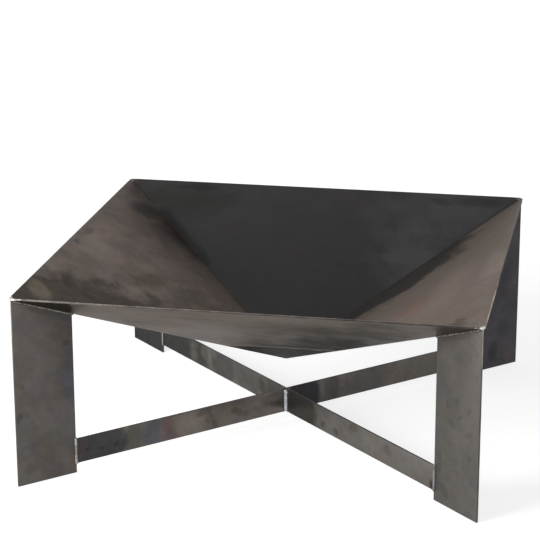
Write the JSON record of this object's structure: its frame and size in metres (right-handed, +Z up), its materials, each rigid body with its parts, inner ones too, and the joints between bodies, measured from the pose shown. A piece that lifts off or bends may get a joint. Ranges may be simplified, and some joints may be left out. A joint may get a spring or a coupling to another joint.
{
  "type": "fire pit",
  "caption": "Square raw-steel fire pit: a shallow pyramid bowl welded onto flat plate legs in its diagonals, tied near the floor by a half-lapped cross of flat bar.",
  "frame": {"origin": "on the floor, under the bowl's tip, in the middle of the four legs", "axes": "+Z up; the rim's sides run along X and Y; the front faces -Y; the legs stand in the diagonal planes"},
  "size_m": [0.7, 0.7, 0.3],
  "materials": {
    "bowl_plate": "raw hot-rolled plate, satin, cloudy brown-grey mill scale with light cut edges",
    "leg_plate": "raw hot-rolled plate, satin, cloudy brown-grey mill scale",
    "bar_plate": "raw hot-rolled flat bar, satin, blue-grey mill scale with heat tint beside the welds",
    "weld_bead": "rippled weld bead, as laid and wire brushed",
    "ground_weld": "weld ground flush, fine bright scratches"
  },
  "bodies": {
    "root": {"bowl_panel_front": "bowl_plate", "bowl_panel_right": "bowl_plate", "bowl_panel_back": "bowl_plate", "bowl_panel_left": "bowl_plate", "hip_weld_front_right": "ground_weld", "hip_weld_back_right": "ground_weld", "hip_weld_back_left": "ground_weld", "hip_weld_front_left": "ground_weld", "corner_weld_front_right": "ground_weld", "corner_weld_back_right": "ground_weld", "corner_weld_back_left": "ground_weld", "corner_weld_front_left": "ground_weld", "tip_weld": "ground_weld", "leg_front_right": "leg_plate", "leg_back_right": "leg_plate", "leg_back_left": "leg_plate", "leg_front_left": "leg_plate", "leg_weld_front_right": "weld_bead", "leg_weld_back_right": "weld_bead", "leg_weld_back_left": "weld_bead", "leg_weld_front_left": "weld_bead", "cross_bar_lower": "bar_plate", "cross_bar_upper": "bar_plate", "centre_weld_front": "weld_bead", "centre_weld_right": "weld_bead", "centre_weld_back": "weld_bead", "centre_weld_left": "weld_bead", "bar_weld_front_right_front_face": "weld_bead", "bar_weld_front_right_back_face": "weld_bead", "bar_weld_back_right_front_face": "weld_bead", "bar_weld_back_right_back_face": "weld_bead", "bar_weld_back_left_front_face": "weld_bead", "bar_weld_back_left_back_face": "weld_bead", "bar_weld_front_left_front_face": "weld_bead", "bar_weld_front_left_back_face": "weld_bead"}
  },
  "joints": []
}
